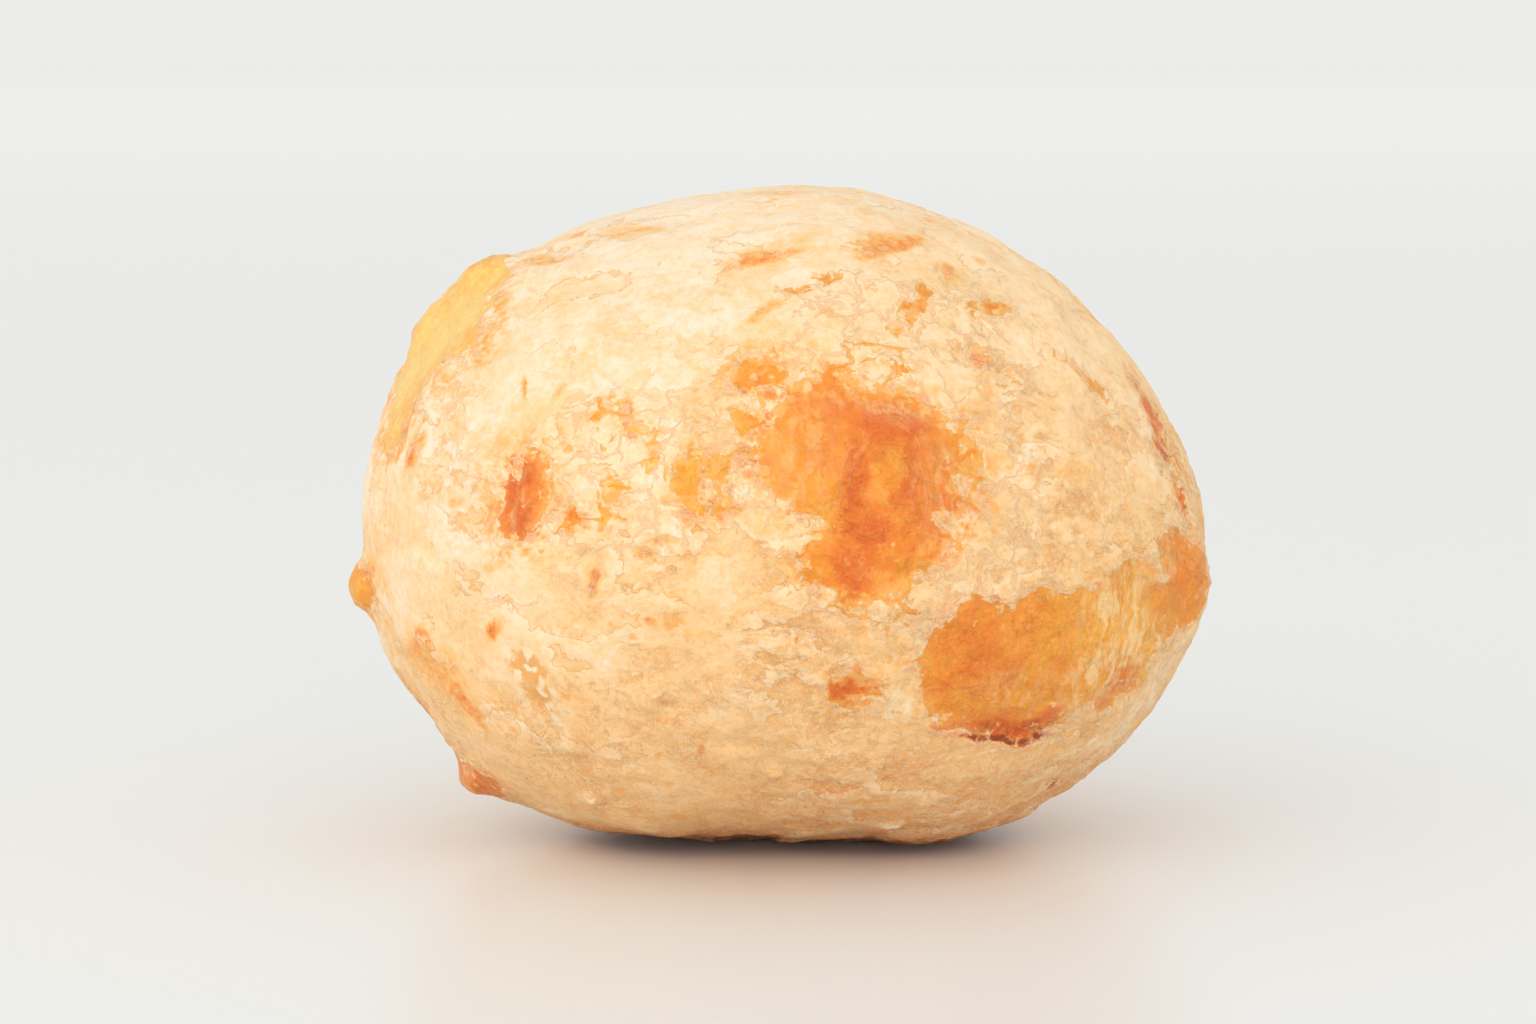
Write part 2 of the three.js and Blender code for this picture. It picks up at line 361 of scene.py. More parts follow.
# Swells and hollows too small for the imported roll. amount is mm, and under 0 it sinks.
LIFTS = [
    Mark("blister eye", 14.5, 11.6, 1.3, 1.8, -11, 0.35),
    Mark("blister moat", 14.5, 11.6, 2.6, 3.4, -11, -0.25),
    Mark("left bead", -83, -9.2, 2.4, 1.6, 0, 1.1),
    Mark("lump by the foot", -80, -41, 2.4, 1.7, 0, 0.9),
    Mark("ridge knob, upper", -84, 40, 2.0, 1.8, 0, 0.7),
    Mark("ridge knob, middle", -86, 34, 2.2, 1.8, 0, 0.45),
    Mark("ridge knob, lower", -86, 28, 2.2, 2.0, 0, 0.55),
    Mark("ridge's right bank", -66, 27, 2.0, 6.0, 8, 0.25),
    Mark("bulge lip", 72, -7, 2.4, 3.4, 0, 0.5),
    Mark("front patch, brow", 14.5, 20, 3.4, 0.9, -14, 0.15),
    Mark("low patch, sill", 38, -28.5, 4.4, 0.7, -7, 0.3),
    Mark("low patch, hollow over the sill", 38, -25.5, 4.0, 1.2, -7, -0.2),
    Mark("knob", -20.6, -21.3, 0.8, 0.6, 0, 0.5),
    Mark("pit", -16.5, -22.8, 0.7, 0.6, 0, -0.45),
    Mark("pit, lower", -8, -30, 0.7, 0.8, 0, -0.4),
    Mark("pit, right", -5, -31, 0.6, 0.6, 0, -0.4),
    Mark("yellow crumb", -2.3, -37, 0.6, 0.7, 0, 0.45),
    Mark("white crumb, right foot", 28, -52.4, 0.6, 0.6, 0, 0.4),
    Mark("white crumb, left foot", -39.7, -42.6, 0.8, 0.6, 0, 0.4),
    Mark("faded stripe, rim", -63, -17, 4.0, 0.8, 37, 0.3),
    Mark("frayed band", -59.5, -3.2, 4.8, 0.8, 6, 0.2),
    Mark("fold over the front patch", 4, 36, 6.0, 1.2, -15, 0.3),
    Mark("fold on the right cheek", 50, 18, 2.4, 6.0, -20, 0.15),
    Mark("dent on the right cheek", 58, 16, 2.4, 6.0, -20, -0.1),
    Mark("fold on the right shoulder", 62, 34, 1.6, 6.0, -35, 0.25),
    Mark("dent on the right shoulder", 70, 32, 1.6, 6.0, -35, -0.2),
    Mark("hollow under the right bulge", 77, -20, 5.0, 2.6, -20, -0.5),
    Mark("lower right flank", 64, -42, 6.0, 3.4, 0, -0.5),
    Mark("back blister", 156, 14, 1.3, 1.0, 20, 0.35),
    Mark("back blister moat", 156, 14, 2.6, 2.2, 20, -0.2),
    Mark("low back sill", -139, -27.5, 4.0, 0.8, -18, 0.3),
    Mark("back knob", -172, -34, 1.0, 0.7, 20, 0.45),
    Mark("back fold", 176, 40, 6.0, 1.3, 12, 0.3),
    Mark("amber bead", 62, -9.5, 1.5, 0.9, -10, 0.35),
]

# The front patch's fine streaks run in rings about this place.
BLISTER = Mark("blister eye", 14.5, 11.6, 1.0, 1.35, -11, 0)

# How tanned the crust is: 0 is cream and 1 brown.
TAN = 0.38  # on the front, halfway up
# The top is paler, partly as paler crust and partly as painted sheen.
TAN_LOST_AND_SHEEN_AT_TOP = 0.26
TAN_GAINED_LOW = 0.24
TAN_GAINED_AT_RIGHT = 0.17
# Round the foot the crust turns dark brown, partly a toasted base and partly painted shade where the
# roll meets the table.
TOAST_AND_SHADE_AT_FOOT = 1.2

# The flake pattern's heights: how many mm each part rises or sinks where its mask or cloud is 1.
# Clouds stay mostly within 0.3 of 0.
SHEET_STEP = 0.16
FLAKE_STEP = 0.15
SKIRT_RISE = 0.1
ISLAND_RISE = 0.14
CRACK_DEPTH = 0.06
FLUFF = 0.14
LUMP = 0.9
SMALL_LUMP = 0.3
CHEESE_BLOB = 0.25
BREAK_DEPTH = 0.55
BREAK_RISE = 0.1  # of the crumbs between the holes
SKIN_SINK = 0.22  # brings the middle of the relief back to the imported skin

# How far to each side of its edge a flake fades out, in mm: softly in the mesh, so that its cells
# can follow, and sharply in the colour.
MESH_SOFTNESS = 0.22
COLOUR_SOFTNESS = 0.09

# The heights in mm of what is too fine for the mesh.
CHEESE_DROP = 0.05
CRACK_GROOVE = 0.05
CRUST_GRAIN = 0.09
CHEESE_GRAIN = 0.12
ISLAND_LIP = 0.02
THREAD_RISE = 0.04
STREAK_RISE = 0.15

# The sizes of the flake pattern's parts. A line is the painted shadow along the foot of a part's
# edge, and its width is in mm. The islands lie calmer on the crown, which starts and is reached
# at these heights over the table, in mm.
SHEETS_PER_MM = 0.15
SHEET_SHADOW_LINE = 0.08
BROAD_ISLANDS_PER_MM = 0.3
SMALL_ISLANDS_PER_MM = 0.8
ISLAND_SHADOW_LINE = 0.07
CROWN_FROM = 28
CROWN_FULL = 40


def srgb(red, green, blue):
    """A colour given as 0 to 255 on a screen, as the light that it stands for."""

    def light(value):
        value /= 255
        return value / 12.92 if value <= 0.04045 else ((value + 0.055) / 1.055) ** 2.4

    return light(red), light(green), light(blue), 1


CRUST_RAMP = [
    (0.0, srgb(252, 228, 200)),
    (0.25, srgb(253, 212, 162)),
    (0.5, srgb(251, 194, 126)),
    (0.75, srgb(248, 171, 96)),
    (1.0, srgb(238, 146, 76)),
]
STAIN_RAMP = [
    (0.0, srgb(252, 206, 132)),
    (0.25, srgb(250, 184, 100)),
    (0.42, srgb(243, 150, 76)),
    (0.6, srgb(224, 114, 56)),
    (0.9, srgb(176, 82, 40)),
]
CHEESE_RAMP = [
    (0.0, srgb(252, 211, 116)),
    (0.25, srgb(246, 168, 58)),
    (0.5, srgb(240, 140, 48)),
    (0.75, srgb(223, 104, 40)),
    (1.0, srgb(156, 66, 32)),
]
FLOURY = srgb(255, 234, 200)
THREAD = srgb(253, 222, 180)
CRACK_AND_SHADOW_LINE = srgb(238, 166, 88)
TOASTED_AND_SHADED = srgb(166, 98, 48)
SCORCHED = srgb(160, 72, 30)
HOLE = srgb(238, 174, 98)
HAZE = srgb(252, 182, 94)
FILM = srgb(250, 190, 108)
SCRAP = srgb(253, 212, 148)


def aim(thing, target):
    """Turns a camera or a light so that it looks at a point."""
    thing.rotation_euler = (target - thing.location).to_track_quat("-Z", "Y").to_euler()


def add_camera():
    """Looks at the front of the roll from a little above, through a long lens."""
    lens = bpy.data.cameras.new("camera")
    lens.lens = CAMERA_LENS
    lens.clip_start = 0.01
    lens.clip_end = 20
    camera = bpy.data.objects.new("camera", lens)
    bpy.context.scene.collection.objects.link(camera)
    away = Vector((0, -math.cos(CAMERA_HEIGHT), math.sin(CAMERA_HEIGHT)))
    camera.location = MIDDLE + AIM + away * CAMERA_REACH
    aim(camera, MIDDLE + AIM)
    bpy.context.scene.camera = camera


class Nodes:
    """Adds nodes to one tree. An input takes either a plain value or another node's output."""

    def __init__(self, tree):
        self.tree = tree

    def feed(self, socket, value):
        if isinstance(value, bpy.types.NodeSocket):
            self.tree.links.new(value, socket)
        else:
            socket.default_value = value

    def add(self, kind, inputs, **settings):
        node = self.tree.nodes.new(kind)
        for name, value in settings.items():
            setattr(node, name, value)
        for key, value in inputs.items():
            self.feed(node.inputs[key], value)
        return node

    def math(self, operation, *values):
        return self.add("ShaderNodeMath", dict(enumerate(values)), operation=operation).outputs[0]

    def chain(self, operation, values):
        total = values[0]
        for value in values[1:]:
            total = self.math(operation, total, value)
        return total

    def plus(self, *values):
        return self.chain("ADD", values)

    def times(self, *values):
        return self.chain("MULTIPLY", values)

    def largest(self, *values):
        return self.chain("MAXIMUM", values)

    def minus(self, a, b):
        return self.math("SUBTRACT", a, b)

    def rise(self, value, low, high):
        """0 up to low, 1 from high, and smooth between; low may be the larger."""
        inputs = {"Value": value, "From Min": low, "From Max": high}
        return self.add("ShaderNodeMapRange", inputs, interpolation_type="SMOOTHSTEP").outputs[0]

    def vector(self, operation, a, b):
        return self.add("ShaderNodeVectorMath", {0: a, 1: b}, operation=operation).outputs[0]

    def scaled(self, place, factor):
        node = self.add("ShaderNodeVectorMath", {0: place, "Scale": factor}, operation="SCALE")
        return node.outputs[0]

    def squeezed(self, place, level, upright):
        """The place scaled by level along the table and by upright up from it."""
        return self.vector("MULTIPLY", place, (level, level, upright))

    def noise(self, place, per_mm, detail=2, roughness=0.5):
        """Cloudy values about 0, mostly within 0.3, with per_mm clouds to a millimetre."""
        inputs = {"Vector": place, "Scale": per_mm, "Detail": detail, "Roughness": roughness}
        return self.minus(self.add("ShaderNodeTexNoise", inputs).outputs[0], 0.5)

    def veins(self, place, per_mm, detail, width):
        """1 on thin lines that wind about, where the clouds pass through 0."""
        clouds = self.noise(place, per_mm, detail, 0.6)
        return self.rise(self.math("ABSOLUTE", clouds), width, 0.0)

    def stirred(self, place, per_mm, mm):
        """The place moved about, mostly by up to half of mm, so that what is drawn there turns
        ragged."""
        inputs = {"Vector": place, "Scale": per_mm, "Detail": 2.0}
        cloud = self.add("ShaderNodeTexNoise", inputs).outputs[1]
        offset = self.scaled(self.vector("SUBTRACT", cloud, (0.5, 0.5, 0.5)), mm * 2)
        return self.vector("ADD", place, offset)

    def cells(self, place, feature="F1"):
        return self.add("ShaderNodeTexVoronoi", {"Vector": place, "Scale": 1.0}, feature=feature)

    def chance(self, cells):
        """A value from -0.5 to 0.5 that is the same all over a cell."""
        parts = self.add("ShaderNodeSeparateXYZ", {0: cells.outputs["Color"]})
        return self.minus(parts.outputs[0], 0.5)

    def ramped(self, value, stops):
        """The colour at a value along a ramp of (position, colour) stops."""
        ramp = self.add("ShaderNodeValToRGB", {0: value})
        ends = ramp.color_ramp.elements
        ends[0].position, ends[0].color = stops[0]
        ends[1].position, ends[1].color = stops[-1]
        for position, colour in stops[1:-1]:
            ends.new(position).color = colour
        return ramp.outputs[0]

    def mixed(self, amount, a, b):
        """A colour from a, where amount is 0, to b, where it is 1."""
        node = self.add("ShaderNodeMix", {0: amount, 6: a, 7: b}, data_type="RGBA")
        return node.outputs[2]

    def blended(self, amount, a, b):
        """A number from a, where amount is 0, to b, where it is 1."""
        return self.add("ShaderNodeMix", {0: amount, 2: a, 3: b}, data_type="FLOAT").outputs[0]


def new_group(name, kind, inputs, outputs):
    """An empty node group with its sockets: each is given as (name, type)."""
    tree = bpy.data.node_groups.new(name, kind)
    for way, sockets in (("INPUT", inputs), ("OUTPUT", outputs)):
        for socket, socket_type in sockets:
            tree.interface.new_socket(socket, in_out=way, socket_type="NodeSocket" + socket_type)
    return tree


def new_material(name):
    """A material without nodes, and what adds them to it."""
    material = bpy.data.materials.new(name)
    material.use_nodes = True
    material.node_tree.nodes.clear()
    return material, Nodes(material.node_tree)


# The flake pattern takes a place, the softness of its edges and three fields painted on the
# skin. It gives the bare cheese, how far in from a tear's edge a place is, the cracks with the
# painted shadow lines along the foot of steps, the pale rims with their painted highlight, each
# flake's own tone, the islands, the crumbs, the hollows that the colour darkens as painted shade
# and the height in mm.
PATTERN_FIELDS = ["Peel", "Ragged", "Crumb"]
PATTERN_INPUTS = [("Place", "Vector"), ("Softness", "Float")]
PATTERN_INPUTS += [(name, "Float") for name in PATTERN_FIELDS]
PATTERN_RESULTS = ["Cheese", "Torn", "CrackAndShadowLine", "RimAndHighlight", "Flake", "Isles", "Crumbs", "HollowShade", "Height"]
PATTERN_OUTPUTS = [(name, "Float") for name in PATTERN_RESULTS]


def tearing(n, place, bent, peel, ragged):
    """How far the crust is torn off: flakes leave whole, and their edges fray. Also each flake's
    own chance and the nearness of a tear."""
    brick = n.squeezed(bent, 0.27, 0.56)
    flake = n.chance(n.cells(brick))
    seam = n.cells(brick, "DISTANCE_TO_EDGE").outputs["Distance"]
    scraps = n.chance(n.cells(n.scaled(bent, 1.3)))
    frayed = n.noise(place, 1.4, 5, 0.68)
    fraying = n.math("MINIMUM", ragged, n.minus(1.9, ragged))
    fray = n.times(n.plus(n.times(scraps, 0.9), n.times(frayed, 0.8)), fraying)
    near = n.rise(n.plus(peel, n.times(frayed, 1.2)), -2.0, -0.2)
    gap = n.times(n.rise(seam, 0.09, 0.02), n.rise(near, 0.6, 1.0), 0.7)
    whole = n.times(n.plus(n.times(flake, 1.4), gap), ragged)
    torn = n.plus(peel, whole, fray, n.times(frayed, 0.35))
    return torn, flake, near


def sheets(n, place, softness, seen):
    """Broad sheets of crust that lie over one another: their step up, the painted shadow line along
    the step's foot and the pale rim along its top, which is partly painted highlight."""
    level = n.noise(n.squeezed(place, 1, 2.3), SHEETS_PER_MM, 4, 0.55)
    slope = SHEETS_PER_MM * 1.6
    line = SHEET_SHADOW_LINE * slope
    half = n.times(softness, slope)
    step = n.rise(level, n.times(half, -1), half)
    below = n.rise(level, -line, -0.2 * line)
    above = n.rise(level, 0, 0.35 * line)
    foot = n.times(below, n.minus(1, above), seen)
    rim = n.times(above, n.rise(level, 4 * line, line), seen)
    return n.times(n.plus(step, -0.5), seen), foot, rim


def islands(n, place, per_mm, softness):
    """Ragged pale islands of flour and skin, about 1 / per_mm mm across, standing a little over
    what lies between them, and the thin painted shadow line along the foot of their edges."""
    flat = n.noise(n.squeezed(place, 1, 1.7), per_mm, 5, 0.62)
    slope = n.times(softness, per_mm * 0.8)
    top = n.rise(flat, n.times(slope, -1), slope)
    line = per_mm * ISLAND_SHADOW_LINE
    foot = n.times(n.rise(flat, -2.6 * line, -line), n.rise(flat, 0.6 * line, -0.2 * line))
    return top, foot


def crackle(n, place, near):
    """Short, broken cracks that part the crust into cakes a few mm across, and the raised skirt
    on both sides of them."""
    net = n.cells(n.scaled(n.stirred(place, 1.1, 0.7), 0.36), "DISTANCE_TO_EDGE")
    apart = n.plus(net.outputs["Distance"], n.times(n.noise(place, 3), 0.06))
    patches = n.plus(n.times(n.noise(place, 0.28), 0.7), n.times(near, 0.9))
    seen = n.times(n.rise(patches, 0.14, 0.28), n.rise(n.noise(place, 0.9), -0.16, 0.0))
    return n.times(n.rise(apart, 0.06, 0.02), seen), n.times(n.rise(apart, 0.2, 0.05), seen)


def flakiness(n, place):
    """Where the islands stand out: in patches, and less on the crown."""
    height = n.add("ShaderNodeSeparateXYZ", {0: place}).outputs[2]
    calm = n.plus(1, n.times(n.rise(height, CROWN_FROM, CROWN_FULL), -0.6))
    return n.times(n.rise(n.noise(place, 0.13, 3), -0.1, 0.14), calm)


def swelling(n, place):
    """The dough's broad and small lumps, in mm."""
    broad = n.times(n.noise(place, 0.16), LUMP)
    return n.plus(broad, n.times(n.noise(place, 0.5, 3), SMALL_LUMP))


def broken_crumb(n, place, crumb):
    """The pale crumbs where the crust is broken open, and the height in mm of crumbs and holes."""
    knobs = n.cells(n.stirred(n.stirred(place, 1.2, 0.6), 3.5, 0.2)).outputs["Distance"]
    height = n.times(crumb, n.plus(BREAK_RISE, n.times(knobs, -BREAK_DEPTH)))
    return n.times(crumb, n.rise(knobs, 0.5, 0.3)), height


def flake_pattern(kind):
    """The crust's flakes, tears and cracks, and their height in mm, for a place on it in mm.

    The same group is built for the modifier that raises the mesh and for the material that
    paints it, so the two agree.
    """
    tree = new_group("flake pattern", kind, PATTERN_INPUTS, PATTERN_OUTPUTS)
    n = Nodes(tree)
    given = tree.nodes.new("NodeGroupInput").outputs
    place, softness = given["Place"], given["Softness"]
    bent = n.stirred(n.stirred(place, 0.5, 0.9), 2.6, 0.25)
    torn, flake, near = tearing(n, place, bent, given["Peel"], given["Ragged"])
    cheese = n.rise(torn, n.times(softness, -1), softness)
    crust = n.minus(1, cheese)

    sheets_seen = n.rise(n.plus(n.noise(place, 0.14), n.times(near, 0.12)), -0.12, 0.08)
    sheet, sheet_foot_shadow, sheet_rim_highlight = sheets(n, bent, softness, sheets_seen)
    cracks, skirts = crackle(n, bent, near)
    flaky = flakiness(n, place)
    broad, broad_foot_shadow = islands(n, bent, BROAD_ISLANDS_PER_MM, softness)
    small, small_foot_shadow = islands(n, bent, SMALL_ISLANDS_PER_MM, softness)
    isles = n.plus(n.times(broad, 0.45), n.times(small, 0.35), 0.1, n.times(sheet, 0.3))
    # The lines along the foot of the islands' edges are painted shadow, and with the sheets' foot
    # lines they join the real cracks in one mask.
    lines = n.times(n.plus(n.times(broad_foot_shadow, 0.42), n.times(small_foot_shadow, 0.14)), flaky)
    crack = n.times(n.largest(n.times(sheet_foot_shadow, 0.7), cracks, lines), crust)
    edge = n.times(n.rise(torn, -0.4, -0.06), n.rise(near, 0.2, 0.7))
    # Pale rims along the tops of sheets and beside cracks, partly pale crust and partly painted
    # highlight.
    skirt = n.largest(n.times(sheet_rim_highlight, 0.7), n.times(skirts, 0.6))

    fluff = n.times(n.noise(place, 1.1, 3, 0.55), FLUFF)
    flaked = n.plus(
        n.times(sheet, SHEET_STEP),
        n.times(flake, near, FLAKE_STEP),
        n.times(skirts, SKIRT_RISE),
        n.times(isles, flaky, ISLAND_RISE),
        n.times(crack, -CRACK_DEPTH),
        fluff,
    )
    lumps = swelling(n, place)
    blobs = n.times(cheese, n.noise(place, 0.7, 3, 0.6), CHEESE_BLOB)
    crumbs, broken = broken_crumb(n, place, given["Crumb"])
    results = {
        "Cheese": cheese,
        "Torn": torn,
        "CrackAndShadowLine": crack,
        "RimAndHighlight": n.times(n.largest(edge, skirt), crust),
        "Flake": flake,
        "Isles": n.plus(0.5, n.times(n.plus(isles, -0.5), n.plus(0.3, n.times(flaky, 0.7)))),
        "Crumbs": crumbs,
        # How deep a place lies among the fluff and lumps, which the colour darkens as painted shade.
        "HollowShade": n.plus(n.times(fluff, -7.5), n.times(lumps, -0.4)),
        "Height": n.plus(n.times(crust, flaked), blobs, lumps, -SKIN_SINK, broken),
    }
    n.add("NodeGroupOutput", results)
    return tree


def placed_pattern(n, place, softness, painted):
    """The flake pattern's outputs in a tree, where painted finds a field of the skin by name."""
    kind = n.tree.bl_idname
    inputs = {"Place": place, "Softness": softness}
    for name in PATTERN_FIELDS:
        inputs[name] = painted(name.lower())
    group = n.add(kind.replace("Tree", "Group"), inputs, node_tree=flake_pattern(kind))
    return group.outputs


def bearings(around, up):
    """The unit vector from the roll's middle towards a place on its skin."""
    turn, rise = math.radians(around), math.radians(up)
    return np.array(
        (math.sin(turn) * math.cos(rise), -math.cos(turn) * math.cos(rise), math.sin(rise))
    )


MARK_WANDER = 0.8  # mm
WANDER_SHIFTS = [Vector((0, 0, 0)), Vector((31, 7, 3)), Vector((5, 41, 17))]  # one for each axis


def wander(point):
    """A cloudy offset, each way mostly within half of 1, for a place in mm."""
    place = Vector(point)
    return [
        noise.noise(place * 0.3 + shift) + 0.5 * noise.noise(place * 0.8 + shift)
        for shift in WANDER_SHIFTS
    ]


class Skin:
    """Where each point of the skin is, as seen from the roll's middle.

    The marks are laid on stirred bearings, so that their outlines wander.
    """

    def __init__(self, mesh):
        flat = np.zeros(len(mesh.vertices) * 3)
        mesh.vertices.foreach_get("co", flat)
        self.points = (flat.reshape(-1, 3) - np.array(MIDDLE)) / MM
        self.reach = np.linalg.norm(self.points, axis=1)
        self.outward = self.points / self.reach[:, None]
        stirred = self.points + MARK_WANDER * np.array([wander(point) for point in self.points])
        self.toward = stirred / np.linalg.norm(stirred, axis=1)[:, None]

    def beside(self, mark):
        """How far each point lies along a mark's width and height, in mm over the skin."""
        centre = bearings(mark.around, mark.up)
        east = bearings(mark.around + 90, 0)
        north = np.cross(centre, east)
        nearness = np.clip(self.toward @ centre, -1, 1)
        sideways, upward = self.toward @ east, self.toward @ north
        reach = self.reach[np.argmax(nearness)]
        stretch = np.arccos(nearness) * reach / np.maximum(np.hypot(sideways, upward), 1e-9)
        sideways, upward = sideways * stretch, upward * stretch
        turn = math.radians(mark.turn)
        return (
            sideways * math.cos(turn) + upward * math.sin(turn),
            upward * math.cos(turn) - sideways * math.sin(turn),
        )

    def away(self, mark):
        """0 at a mark's middle and 1 along its edge."""
        across, along = self.beside(mark)
        return np.hypot(across / mark.wide, along / mark.high)

    def laid(self, marks, start, crispness):
        """start all over, drawn to each mark's amount inside it; a higher crispness keeps the
        amount the same further out and ends it sooner."""
        field = np.full(len(self.reach), start)
        for mark in marks:
            weight = np.exp(-self.away(mark) ** crispness)
            field += weight * (mark.amount - field)
        return field


def peel_field(skin):
    """How well cleared of crust each point is, about in mm from the edge of a tear: over 0 inside
    it, and under 0 where the crust holds."""
    field = np.full(len(skin.reach), CRUST_HOLD)
    for mark in TEARS:
        inside = (1 - skin.away(mark)) * min(mark.wide, mark.high)
        inside = np.where(inside < 0, inside * OUTER_HOLD, inside)
        field = np.maximum(field, np.minimum(inside, mark.amount))
    for mark in SCRAPS:
        outside = (skin.away(mark) - 1) * min(mark.wide, mark.high) * SCRAP_HOLD
        field = np.minimum(field, outside)
    return field


def thin_field(skin):
    """How thin the crust is round the tears: 1 at the edge of one that bares the cheese, and
    falling off over a few mm."""
    field = np.zeros(len(skin.reach))
    for mark in TEARS:
        half = min(mark.wide, mark.high)
        outside = np.maximum(skin.away(mark) - 1, 0) * half
        strength = 1 if mark.amount > 0 else THIN_BY_LOOSE_FLAKES
        field = np.maximum(field, strength * np.exp(-outside / min(THIN_REACH, half)))
    return field


def tan_field(skin):
    """Paler towards the top, partly as painted sheen, browner towards the foot and a little browner
    on the +X side; over 1, round the foot itself, it is toasted dark, partly as a toasted base and
    partly as painted shade where the roll meets the table."""
    height = skin.points[:, 2] / skin.points[:, 2].max()
    side = skin.points[:, 0] / skin.points[:, 0].max()
    high, low = np.maximum(height, 0), np.maximum(-height, 0)
    foot = np.clip((low - 0.9) / 0.1, 0, 1)
    by_height = TAN_GAINED_LOW * low ** 1.5 - TAN_LOST_AND_SHEEN_AT_TOP * high
    return TAN + by_height + TAN_GAINED_AT_RIGHT * side + TOAST_AND_SHADE_AT_FOOT * foot


def lift_skin(skin, mesh):
    """Raises and sinks the places in LIFTS."""
    rise = np.zeros(len(skin.reach))
    for mark in LIFTS:
        rise += mark.amount * np.exp(-skin.away(mark) ** 3)
    points = skin.points + skin.outward * rise[:, None]
    mesh.vertices.foreach_set("co", (points * MM + np.array(MIDDLE)).ravel())
    mesh.update()


def packed_surface():
    """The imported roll's surface, rounded over its facets, to lay the skin on."""
    copy = bpy.data.objects.new("packed copy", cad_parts[NODE].data.copy())
    bpy.context.scene.collection.objects.link(copy)
    merged = bmesh.new()
    merged.from_mesh(copy.data)
    bmesh.ops.remove_doubles(merged, verts=merged.verts, dist=MERGE_WITHIN)
    merged.to_mesh(copy.data)
    merged.free()
    rounding = copy.modifiers.new("rounding", "SUBSURF")
    rounding.levels = rounding.render_levels = 1
    surface = BVHTree.FromObject(copy, bpy.context.evaluated_depsgraph_get())
    bpy.data.objects.remove(copy)
    return surface


def wrapped_skin():
    """An even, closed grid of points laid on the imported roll."""
    surface = packed_surface()
    skin = bmesh.new()
    bmesh.ops.create_cube(skin, size=2)
    bmesh.ops.subdivide_edges(skin, edges=skin.edges, cuts=SKIN_CUTS, use_grid_fill=True)
    for point in skin.verts:
        spread = Vector([math.tan(side * math.pi / 4) for side in point.co])
        point.co = surface.ray_cast(MIDDLE, spread.normalized())[0]
    for _ in range(SKIN_SMOOTHING):
        bmesh.ops.smooth_vert(
            skin, verts=skin.verts, factor=0.5, use_axis_x=True, use_axis_y=True, use_axis_z=True
        )
    bmesh.ops.recalc_face_normals(skin, faces=skin.faces)
    mesh = bpy.data.meshes.new("roll_skin")
    skin.to_mesh(mesh)
    skin.free()
    return mesh


def paint(mesh, name, values):
    attribute = mesh.attributes.new(name, "FLOAT", "POINT")
    attribute.data.foreach_set("value", values.astype(np.float32))


def raise_group():
    """Moves each point of the mesh out by the height of the flake pattern."""
    tree = new_group("raise crust", "GeometryNodeTree", [("Skin", "Geometry")], [("Skin", "Geometry")])
    n = Nodes(tree)

    def painted(name):
        inputs = {"Name": name}
        return n.add("GeometryNodeInputNamedAttribute", inputs, data_type="FLOAT").outputs[0]

    skin = tree.nodes.new("NodeGroupInput").outputs[0]
    place = n.scaled(tree.nodes.new("GeometryNodeInputPosition").outputs[0], PER_METRE)
    pattern = placed_pattern(n, place, MESH_SOFTNESS, painted)
    outward = tree.nodes.new("GeometryNodeInputNormal").outputs[0]
    offset = n.scaled(outward, n.times(pattern["Height"], MM))
    moved = n.add("GeometryNodeSetPosition", {"Geometry": skin, "Offset": offset})
    n.add("NodeGroupOutput", {0: moved.outputs[0]})
    return tree


def raise_crust(piece):
    """Applies the flake pattern's relief to the piece's mesh, and keeps it off the table."""
    relief = piece.modifiers.new("relief", "NODES")
    relief.node_group = raise_group()
    relieved = piece.evaluated_get(bpy.context.evaluated_depsgraph_get())
    done = bpy.data.meshes.new_from_object(relieved)
    piece.modifiers.clear()
    piece.data = done
    for point in done.vertices:
        point.co.z = max(point.co.z, 0)
    done.shade_smooth()


def threads(n, place):
    """Thin pale threads, lying mostly level, where the dough was drawn out as it rose."""
    drawn = n.squeezed(n.stirred(place, 0.6, 2.4), 0.7, 1.7)
    return n.largest(n.veins(drawn, 0.8, 3, 0.05), n.times(n.veins(drawn, 1.8, 2, 0.09), 0.8))


def golden_patches(n, place, tan, low_lying_and_shade):
    """Hazy golden clouds, stronger low down and as painted shade in the hollows, and a few freckles.
    """
    clouds = n.rise(n.noise(n.stirred(place, 0.9, 0.8), 0.33, 4, 0.6), 0.04, 0.2)
    shaded_beneath = n.rise(low_lying_and_shade, -0.2, 0.5)
    strength = n.plus(0.14, n.times(n.rise(tan, 0.2, 0.55), 0.2), n.times(shaded_beneath, 0.3))
    spots = n.cells(n.scaled(n.stirred(place, 1.2, 0.5), 0.3))
    size = n.times(n.plus(n.chance(spots), -0.1), 0.75)
    freckles = n.rise(n.minus(size, spots.outputs["Distance"]), -0.08, 0.1)
    return n.largest(n.times(clouds, strength), n.times(freckles, 0.5))


